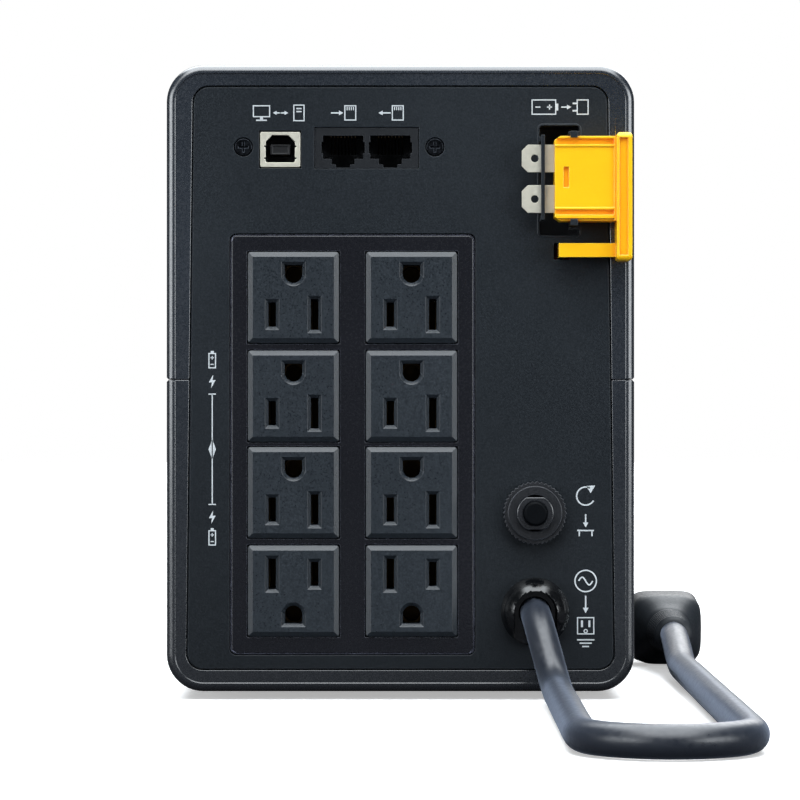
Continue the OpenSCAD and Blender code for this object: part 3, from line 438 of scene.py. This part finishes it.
# ------------------------------------------------------------------ dressing the CAD parts
OUTLETS = {"outlet_%d" % i for i in range(1, 9)}
EDGE_MM = {    # width of the rounded edges in mm; other parts are only split at creases
    "upper_shell": 0.125, "lower_shell": 0.125, "rear_panel": 0.11, "front_bezel": 0.15,
    "outlet_plate": 0.3, "usb_shell": 0.14, "usb_insert": 0.1, "network_jack": 0.07,
    "port_screws": 0.12, "battery_socket": 0.125, "plug_housing": 0.17, "plug_blades": 0.1,
    "breaker_body": 0.25, "breaker_nut": 0.12, "reset_button": 0.2, "strain_relief": 0.3,
    "mains_prongs": 0.25, "power_button": 0.25, "button_ring": 0.25, "status_lenses": 0.3,
    "rubber_feet": 0.4, "case_screws": 0.2, "battery_case": 0.6, "transformer_coil": 0.8,
    "breaker_tabs": 0.1, **{name: 0.09 for name in OUTLETS},
}
RAW = {"outlet_plate", "plug_housing"}       # flat faces not merged before rounding
UNCLAMPED = RAW | OUTLETS | {                # rounded edges may overlap
    "upper_shell", "lower_shell", "rear_panel", "front_bezel", "network_jack", "usb_shell",
    "usb_insert", "battery_socket", "strain_relief", "breaker_nut", "breaker_body"}
SHELLS = {"upper_shell", "lower_shell"}      # normals weighted by face area
OWN_MATERIAL = {"reset_button": "button_black", "battery_socket": "socket_grey"}
slots = {s["node"]: s["material_slot"] for s in frame["record"]["subparts"]}


def modify(obj, name, kind, **settings):
    modifier = obj.modifiers.new(name, kind)
    for key, value in settings.items():
        setattr(modifier, key, value)


def dress(name, obj):
    """Give a part its one material, its shading and its edges."""
    me = obj.data
    mat = MATS[OWN_MATERIAL.get(name) or slots[name]]
    while len(me.materials) > 1:
        me.materials.pop()
    if len(me.materials):
        me.materials[0] = mat
    else:
        me.materials.append(mat)
    mark_curves(me)
    for p in me.polygons:
        p.material_index = 0
    modify(obj, "join", "WELD", merge_threshold=2e-6)
    if name not in EDGE_MM:
        modify(obj, "sharp", "EDGE_SPLIT", split_angle=CREASE)
        return
    if name not in RAW:
        modify(obj, "flats", "DECIMATE", decimate_type="DISSOLVE",
               angle_limit=math.radians(0.4))
    modify(obj, "edges", "BEVEL", width=EDGE_MM[name] * MM,
           segments=3 if name == "plug_housing" else 2, limit_method="ANGLE",
           angle_limit=CREASE, use_clamp_overlap=name not in UNCLAMPED,
           miter_outer="MITER_SHARP")
    if name in SHELLS:
        modify(obj, "even", "WEIGHTED_NORMAL", mode="FACE_AREA", weight=80, keep_sharp=True)


def repaint(part, rule):
    """Give each loose piece of a part the material that the rule names for its centre."""
    me = nodes[part].data
    for faces in islands(me):
        centre = sum((p.center for p in faces), Vector()) / len(faces)
        mat = MATS[rule(centre)]
        slot = me.materials.find(mat.name)
        if slot < 0:
            me.materials.append(mat)
            slot = len(me.materials) - 1
        for p in faces:
            p.material_index = slot


def cable_colour(centre):
    return "black_wire" if centre.x > 0.030 and centre.z > 0.125 else "red_wire"


def board_part(centre):
    """Front to rear: capacitors, chokes, the rest."""
    if centre.y > 0.03:
        return "capacitor_sleeve"
    return "choke_winding" if centre.y > -0.07 else "parts_mixed"


for part_name, part_object in nodes.items():
    dress(part_name, part_object)
repaint("battery_cables", cable_colour)
repaint("board_parts", board_part)


# ------------------------------------------------------------------ mesh helpers
def add_object(name, bm, mat):
    me = bpy.data.meshes.new(name)
    bm.to_mesh(me)
    bm.free()
    me.materials.append(mat)
    obj = bpy.data.objects.new(name, me)
    scene.collection.objects.link(obj)
    return obj


def add_piece(name, bm, material, smooth=True):
    """A new piece that rides on the cabinet."""
    bmesh.ops.recalc_face_normals(bm, faces=bm.faces)
    obj = add_object(name, bm, MATS[material])
    for p in obj.data.polygons:
        p.use_smooth = smooth
    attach(obj, "cabinet")
    return obj


def skin(bm, rings):
    """Quads between rings with equal vertex counts."""
    sides = len(rings[0])
    for a, b in zip(rings, rings[1:]):
        for k in range(sides):
            bm.faces.new((a[k], a[(k + 1) % sides], b[(k + 1) % sides], b[k]))


def tube(path, radius, sides=28):
    """A closed round sleeve along a path, without twist; radius takes the share of the way."""
    bm = bmesh.new()
    rings = []
    last = len(path) - 1
    across = Vector((0, 0, 1))
    for i, point in enumerate(path):
        ahead = (path[min(i + 1, last)] - path[max(i - 1, 0)]).normalized()
        across = (across - across.dot(ahead) * ahead).normalized()
        other = ahead.cross(across)
        r = radius(i / last)
        angles = [2 * math.pi * k / sides for k in range(sides)]
        rings.append([bm.verts.new(point + r * (math.cos(a) * across + math.sin(a) * other))
                      for a in angles])
    skin(bm, rings)
    bm.faces.new(list(reversed(rings[0])))
    bm.faces.new(rings[-1])
    return bm


def loft(origin, sections, sides=48):
    """Closed skin along y through superellipse sections given in mm from the origin."""
    bm = bmesh.new()
    rings = []
    for y, half_width, half_height, power in sections:
        ring = []
        for k in range(sides):
            c = math.cos(2 * math.pi * k / sides)
            s = math.sin(2 * math.pi * k / sides)
            x = half_width * MM * math.copysign(abs(c) ** (2 / power), c)
            z = half_height * MM * math.copysign(abs(s) ** (2 / power), s)
            ring.append(bm.verts.new((origin[0] + x, origin[1] + y * MM, origin[2] + z)))
        rings.append(ring)
    skin(bm, rings)
    bm.faces.new(rings[0])
    bm.faces.new(list(reversed(rings[-1])))
    return bm


def resample(points, step):
    """Points at an even step along a polyline, and its two ends."""
    out = [points[0].copy()]
    carry = 0.0
    for a, b in zip(points, points[1:]):
        length = (b - a).length
        d = step - carry
        while d < length:
            out.append(a.lerp(b, d / length))
            d += step
        if length:
            carry = (carry + length) % step
    out.append(points[-1].copy())
    return out


def go_straight(path, heading, length, steps):
    start = path[-1]
    path += [start + heading * length * i / steps for i in range(1, steps + 1)]


def bend(path, heading, side, radius, angle, steps):
    """Add an arc towards `side`; return the new heading and side."""
    start = path[-1]
    for i in range(1, steps + 1):
        a = angle * i / steps
        path.append(start + side * (radius - radius * math.cos(a))
                    + heading * (radius * math.sin(a)))
    c, s = math.cos(angle), math.sin(angle)
    return heading * c + side * s, side * c - heading * s


def double_bend_run(rise, radius, angle):
    """Length of the straight between two opposite bends that together climb `rise`."""
    return (rise - 2 * radius * (1 - math.cos(angle))) / math.sin(angle)


# ------------------------------------------------------------------ power cord
CORD_R = 4.5 * MM
CORD_STEP = 1.6 * MM
DROP_R, DROP_ANGLE = 16 * MM, math.radians(60)    # bends on the way down to the floor
DROP_LEAN = math.radians(14.5)                    # sideways lean of the drop, towards +X
LIFT_R, LIFT_ANGLE = 34 * MM, math.radians(14)    # bends on the way up to the plug
PLUG_OVERLAP = 7 * MM                             # length of cord inside the plug
SMOOTHING_PASSES = 14

cord_lo, cord_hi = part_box("power_cord")
relief_x, relief_z = centre_xz("strain_relief")
relief_z -= 0.3 * MM
plug_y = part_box("mains_plug")[0].y
plug_x, plug_z = centre_xz("mains_plug")
floor_z = cord_lo.z + CORD_R + 0.06 * MM          # cord axis where it lies on the floor


def cord_path():
    """Out of the strain relief, down to the floor, round a half circle and up to the plug."""
    rearward = Vector((0, -1, 0))
    inner_end = Vector((relief_x, cord_hi.y - 0.2 * MM, relief_z))
    outlet = Vector((relief_x, REAR_Y - 3 * MM, relief_z))
    path = [inner_end.lerp(outlet, i / 12) for i in range(13)]

    down = Vector((math.sin(DROP_LEAN), 0, -math.cos(DROP_LEAN)))
    fall = (relief_z - floor_z) / math.cos(DROP_LEAN)
    heading, side = bend(path, rearward, down, DROP_R, DROP_ANGLE, 14)
    go_straight(path, heading, double_bend_run(fall, DROP_R, DROP_ANGLE), 4)
    bend(path, heading, -side, DROP_R, DROP_ANGLE, 14)

    turn_r = (plug_x - path[-1].x) / 2
    go_straight(path, rearward, path[-1].y - (cord_lo.y + CORD_R + turn_r), 20)
    bend(path, rearward, Vector((1, 0, 0)), turn_r, math.pi, 48)

    run = double_bend_run(plug_z - floor_z, LIFT_R, LIFT_ANGLE)
    reach = 2 * LIFT_R * math.sin(LIFT_ANGLE) + run * math.cos(LIFT_ANGLE)
    path.append(Vector((path[-1].x, plug_y - reach, path[-1].z)))
    heading, side = bend(path, Vector((0, 1, 0)), Vector((0, 0, 1)), LIFT_R, LIFT_ANGLE, 8)
    go_straight(path, heading, run, 4)
    bend(path, heading, -side, LIFT_R, LIFT_ANGLE, 8)
    path.append(path[-1] + Vector((0, PLUG_OVERLAP, 0)))
    return resample(path, CORD_STEP)


def smoothed(path):
    """Even out the bends, holding both ends still."""
    first = max((i for i, v in enumerate(path) if v.y > REAR_Y - 5 * MM and v.x < 0.06),
                default=10)
    last = len(path) - 5
    for _ in range(SMOOTHING_PASSES):
        path = [v if i <= first or i >= last else (path[i - 1] + 2 * v + path[i + 1]) / 4
                for i, v in enumerate(path)]
    return path


def cord_radius(share):
    """The cord's radius, very slightly wavy."""
    return CORD_R * (1 + 0.004 * math.sin(share * 61.0))


cord = add_piece("power_cord_sleeve", tube(smoothed(cord_path()), cord_radius), "cord_vinyl")
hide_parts("power_cord")


# ------------------------------------------------------------------ moulded mains plug
RIBS, RIB_PITCH, RIB_START = 7, 2.9, 0.8
# sections in mm: y from the cord end, half width, half height, superellipse power
COLLAR = [(0, 5.0, 5.0, 2), (0.3, 5.4, 5.4, 2)]
# one rib of the grip: y from its start, radius over the sleeve's
RIB = [(0, 0.5), (0.3, 0.75), (1.3, 0.75), (1.6, 0.5), (1.75, -0.35), (2.6, -0.3)]
BODY = [
    (21.4, 7.2, 7.2, 2.1), (24, 8.0, 8.1, 2.3), (27, 9.6, 9.7, 2.6), (29.5, 11.0, 11.1, 3.2),
    (32, 11.7, 11.8, 4), (36, 11.6, 11.7, 4.4), (40, 11.5, 11.6, 4.6), (45, 11.9, 12.1, 4.8),
    (48.9, 12.0, 12.2, 5), (49.6, 11.8, 12.0, 5), (50.0, 11.2, 11.4, 5),
]


def plug_sections():
    sections = list(COLLAR)
    for i in range(RIBS):
        start = RIB_START + i * RIB_PITCH
        sleeve = 5.6 + i * 0.18
        sections += [(start + y, sleeve + r, sleeve + r, 2) for y, r in RIB]
    return sections + BODY


plug = add_piece("mains_plug_body", loft((plug_x, plug_y, plug_z), plug_sections()),
                 "plug_vinyl")
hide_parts("mains_plug")


# ------------------------------------------------------------------ printed legends
class Ink:
    """Flat shapes on the rear panel as a thin printed layer.

    All sizes are in mm. Shapes are placed by their centre x and z, then width and height.
    """

    def __init__(self):
        self.bm = bmesh.new()

    def poly(self, points):
        outer, inner = ([self.bm.verts.new((x * MM, PANEL_Y + depth * MM, z * MM))
                         for x, z in points] for depth in (-0.06, 0.02))
        self.bm.faces.new(outer)
        self.bm.faces.new(list(reversed(inner)))
        n = len(points)
        for i in range(n):
            k = (i + 1) % n
            self.bm.faces.new((outer[i], inner[i], inner[k], outer[k]))

    def rect(self, x, z, w, h):
        self.poly([(x - w / 2, z - h / 2), (x + w / 2, z - h / 2),
                   (x + w / 2, z + h / 2), (x - w / 2, z + h / 2)])

    def line(self, x0, z0, x1, z1, pen):
        length = math.hypot(x1 - x0, z1 - z0)
        nx, nz = -(z1 - z0) / length * pen / 2, (x1 - x0) / length * pen / 2
        self.poly([(x0 + nx, z0 + nz), (x1 + nx, z1 + nz),
                   (x1 - nx, z1 - nz), (x0 - nx, z0 - nz)])

    def band(self, curve, steps, pen):
        """A ribbon along a curve of t from 0 to 1."""
        points = [curve(i / steps) for i in range(steps + 1)]
        left, right = [], []
        for i, (x, z) in enumerate(points):
            a, b = points[max(i - 1, 0)], points[min(i + 1, steps)]
            length = math.hypot(b[0] - a[0], b[1] - a[1])
            nx = -(b[1] - a[1]) / length * pen / 2
            nz = (b[0] - a[0]) / length * pen / 2
            left.append((x + nx, z + nz))
            right.append((x - nx, z - nz))
        for i in range(steps):
            self.poly([left[i], left[i + 1], right[i + 1], right[i]])

    def arc(self, x, z, radius, start, end, pen, steps=24):
        def curve(t):
            angle = math.radians(start + (end - start) * t)
            return x + radius * math.cos(angle), z + radius * math.sin(angle)
        self.band(curve, steps, pen)

    def frame(self, x, z, w, h, pen=0.34):
        for side in (1, -1):
            self.rect(x, z + side * (h / 2 - pen / 2), w, pen)
        for side in (-1, 1):
            self.rect(x + side * (w / 2 - pen / 2), z, pen, h - 2 * pen)

    def arrow(self, x0, z0, x1, z1, head, pen=0.4):
        length = math.hypot(x1 - x0, z1 - z0)
        dx, dz = (x1 - x0) / length * head, (z1 - z0) / length * head
        neck_x, neck_z = x1 - dx, z1 - dz
        self.line(x0, z0, neck_x, neck_z, pen)
        self.poly([(x1, z1), (neck_x - dz * 0.55, neck_z + dx * 0.55),
                   (neck_x + dz * 0.55, neck_z - dx * 0.55)])

    def done(self, name):
        add_piece(name, self.bm, "legend_ink", smooth=False)


def port_legend():
    """Above the ports: a data link, and a network arrow in and out."""
    ink = Ink()
    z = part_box("network_jack")[1].z / MM + 4.4
    x = centre_xz("usb_shell")[0] / MM
    # a screen on its stand, a two-way arrow and a tower
    ink.frame(x - 5.6, z + 0.5, 5.2, 3.6)
    ink.rect(x - 5.6, z - 1.7, 0.9, 0.9)
    ink.rect(x - 5.6, z - 2.2, 3.2, 0.4)
    ink.arrow(x - 0.2, z, x + 2.4, z, head=1.1)
    ink.arrow(x + 0.2, z, x - 2.2, z, head=1.1)
    ink.frame(x + 5.6, z, 3.4, 5.0)
    for up in (1.3, 0.4):
        ink.rect(x + 5.6, z + up, 1.6, 0.4)
    # two jacks with four contacts each, one arrow towards its jack and one away
    jack_x = centre_xz("network_jack")[0] / MM
    for x, inward in ((jack_x - 7.1, True), (jack_x + 7.1, False)):
        ink.frame(x + 2.2, z, 3.6, 4.6)
        for k in range(4):
            ink.rect(x + 1.25 + k * 0.63, z + 1.3, 0.28, 1.0)
        far, near = x - 3.6, x + 0.1
        start, end = (far, near) if inward else (near, far)
        ink.arrow(start, z, end, z, head=1.3)
    ink.done("legend_ports")


def battery_legend():
    """Above the battery socket: a battery, an arrow and a two-pin plug."""
    ink = Ink()
    x = centre_xz("battery_socket")[0] / MM
    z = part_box("battery_socket")[1].z / MM + 4.0
    ink.frame(x - 4.6, z, 7.4, 4.6)
    ink.rect(x - 4.6 + 7.4 / 2 + 0.3, z, 0.6, 4.6 * 0.45)
    ink.rect(x - 6.4, z, 1.5, 0.36)
    ink.rect(x - 2.9, z, 1.5, 0.36)
    ink.rect(x - 2.9, z, 0.36, 1.5)
    ink.arrow(x + 0.6, z, x + 3.6, z, head=1.3)
    ink.frame(x + 7.0, z, 3.6, 4.6)
    for up in (1.1, -1.1):
        ink.rect(x + 4.6, z + up, 1.2, 0.5)
    ink.done("legend_battery")


def backup_legend():
    """Upright strip beside the outlets, on their -X side."""
    ink = Ink()
    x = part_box("outlet_plate")[0].x / MM - 4.0
    middle = 75.0
    for z in (middle + 26.5, middle - 26.5):     # upright batteries
        ink.frame(x, z, 2.3, 4.6)
        ink.rect(x, z + 4.6 / 2 + 0.3, 2.3 * 0.4, 0.6)
        ink.rect(x, z + 0.9, 1.0, 0.3)
        ink.rect(x, z + 0.9, 0.3, 1.0)
        ink.rect(x, z - 1.1, 1.0, 0.3)
    for z in (middle + 20.3, middle - 20.3):     # lightning bolts
        ink.poly([(x + 0.3, z + 2.0), (x - 1.0, z - 0.3), (x - 0.1, z - 0.3),
                  (x - 0.3, z - 2.0), (x + 1.0, z + 0.4), (x + 0.1, z + 0.4)])
    # a long line with a bar at each end and a diamond in the middle
    ink.line(x, middle + 16.5, x, middle - 16.5, pen=0.34)
    for z in (middle + 16.5, middle - 16.5):
        ink.rect(x, z, 2.2, 0.34)
    ink.poly([(x, middle + 3.0), (x - 1.1, middle), (x, middle - 3.0), (x + 1.1, middle)])
    ink.done("legend_backup")


legend_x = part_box("breaker_nut")[1].x / MM + 5.8   # shared by the two legends below
PEN = 0.42


def reset_legend():
    """Beside the breaker: a turning arrow, and an arrow down onto a button."""
    ink = Ink()
    x, z = legend_x, centre_xz("breaker_nut")[1] / MM
    ink.arc(x, z + 5.0, 2.7, 60, 330, pen=PEN)
    ink.poly([(x + 2.9, z + 8.2), (x + 0.1, z + 8.0), (x + 1.5, z + 5.9)])
    ink.arrow(x, z - 0.4, x, z - 4.4, head=1.5, pen=PEN)
    ink.rect(x, z - 5.3, 5.0, PEN)
    for side in (-1.9, 1.9):
        ink.rect(x + side, z - 6.2, PEN, 1.6)
    ink.done("legend_reset")


def input_legend():
    """Beside the cord: a sine wave in a circle, an arrow down and a mains socket."""
    ink = Ink()
    x, z = legend_x, relief_z / MM + 0.4
    ink.arc(x, z + 9.0, 3.2, 0, 360, pen=0.4, steps=40)
    ink.band(lambda t: (x - 2.1 + 4.2 * t, z + 9.0 + 1.15 * math.sin(2 * math.pi * t)),
             28, pen=PEN)
    ink.arrow(x, z + 4.6, x, z - 0.6, head=1.6, pen=PEN)
    ink.frame(x, z - 4.4, 5.2, 5.2)
    for side in (-1.1, 1.1):
        ink.rect(x + side, z - 3.8, 0.6, 2.0)
    ink.arc(x, z - 6.0, 0.5, 0, 360, pen=0.3, steps=16)
    for k in range(3):                           # three bars that shorten downwards
        ink.rect(x, z - 8.6 - k * 1.0, 5.2 - k * 1.6, 0.4)
    ink.done("legend_input")


port_legend()
battery_legend()
backup_legend()
reset_legend()
input_legend()


# ------------------------------------------------------------------ floor
def floor_material():
    """Nearly white to the camera but dark to other rays, so it throws little light back."""
    g = MaterialGraph("pale_floor")
    slow = g.noise(mm=400.0, detail=3.0)
    pale = g.mix(g.ramp(slow, MIDDLE), (0.80, 0.80, 0.80, 1), (0.84, 0.84, 0.84, 1))
    seen = g.node("ShaderNodeLightPath").outputs["Is Camera Ray"]
    return g.shade(Base_Color=g.mix(seen, (0.035, 0.035, 0.04, 1), pale),
                   Roughness=g.ramp(g.noise(mm=3.0), MIDDLE, (0.6, 0.75)),
                   Specular_IOR_Level=0.1, Emission_Color=(1, 1, 1, 1),
                   Emission_Strength=g.math("MULTIPLY", seen, 0.42))


floor_bm = bmesh.new()
bmesh.ops.create_grid(floor_bm, x_segments=8, y_segments=8, size=4.0)
add_object("floor", floor_bm, floor_material())

# ------------------------------------------------------------------ world
# Strengths of the dim room, the screens on the -X and +X sides, and the ceiling
AMBIENT, SCREEN_MINUS_X, SCREEN_PLUS_X, CEILING = 0.05, 5.2, 5.7, 5.6


def build_world():
    """White to the camera; to other rays a dim room with a ceiling and two tall screens."""
    world = bpy.data.worlds.new("studio")
    scene.world = world
    g = Graph(world, "World", "Generated")
    x, y, z = g.node("ShaderNodeSeparateXYZ", Vector=g.coord).outputs

    def step(value, start, end, top=1.0):
        return g.ramp(value, (start, end), (0.0, top), shape="SMOOTHSTEP")

    def size_of(value):
        return g.math("ABSOLUTE", value, 0.0)

    band = g.math("MULTIPLY", step(y, -0.12, -0.42), step(size_of(z), 0.44, 0.24))
    screens = g.math("ADD", step(x, 0.42, 0.60, SCREEN_PLUS_X),
                     step(x, -0.42, -0.60, SCREEN_MINUS_X))
    ceiling = g.math("MULTIPLY", step(z, 0.42, 0.74, CEILING), step(size_of(x), 0.60, 0.36))
    lit = g.math("ADD", g.math("MULTIPLY", band, screens), ceiling)
    room = g.node("ShaderNodeBackground", Color=(0.92, 0.965, 1.0, 1),
                  Strength=g.math("ADD", AMBIENT, lit))
    white = g.node("ShaderNodeBackground", Color=(1, 1, 1, 1), Strength=1.0)
    seen = g.node("ShaderNodeLightPath").outputs["Is Camera Ray"]
    mix = g.node("ShaderNodeMixShader", Fac=seen)
    g.put(mix.inputs[1], room.outputs[0])
    g.put(mix.inputs[2], white.outputs[0])
    g.put(g.surface, mix.outputs[0])


build_world()


# ------------------------------------------------------------------ lights and camera
def area_light(name, location, target, size, power, colour=(1, 1, 1)):
    light = bpy.data.lights.new(name, "AREA")
    light.shape = "RECTANGLE"
    light.size = light.size_y = size
    light.energy = power
    light.color = colour
    obj = bpy.data.objects.new(name, light)
    obj.location = location
    aim = Vector(target) - Vector(location)
    obj.rotation_euler = aim.to_track_quat("-Z", "Y").to_euler()
    scene.collection.objects.link(obj)


area_light("key", location=(-0.62, -1.15, 1.05), target=(0, -0.1, 0.11), size=0.7, power=1.2,
           colour=(1.0, 0.99, 0.97))
area_light("front_fill", location=(0.5, 1.5, 0.9), target=(0, 0.1, 0.1), size=0.9, power=9.0)

SENSOR = 36.0                  # sensor width in mm
CAMERA_DISTANCE = 1.1          # from the rear rim
VIEW_WIDTH = 239.16293 * MM    # width in view at the rear rim
CAMERA_X, CAMERA_Z = -0.135 * MM, 89.73468 * MM

camera_data = bpy.data.cameras.new("camera")
camera = bpy.data.objects.new("camera", camera_data)
scene.collection.objects.link(camera)
camera_data.sensor_width = SENSOR
camera_data.lens = SENSOR * CAMERA_DISTANCE / VIEW_WIDTH
camera_data.clip_end = 50.0
camera.location = (CAMERA_X, REAR_Y - CAMERA_DISTANCE, CAMERA_Z)
camera.rotation_euler = (math.radians(90), 0, 0)
scene.camera = camera
scene.view_settings.view_transform = "Standard"
scene.view_settings.look = "None"
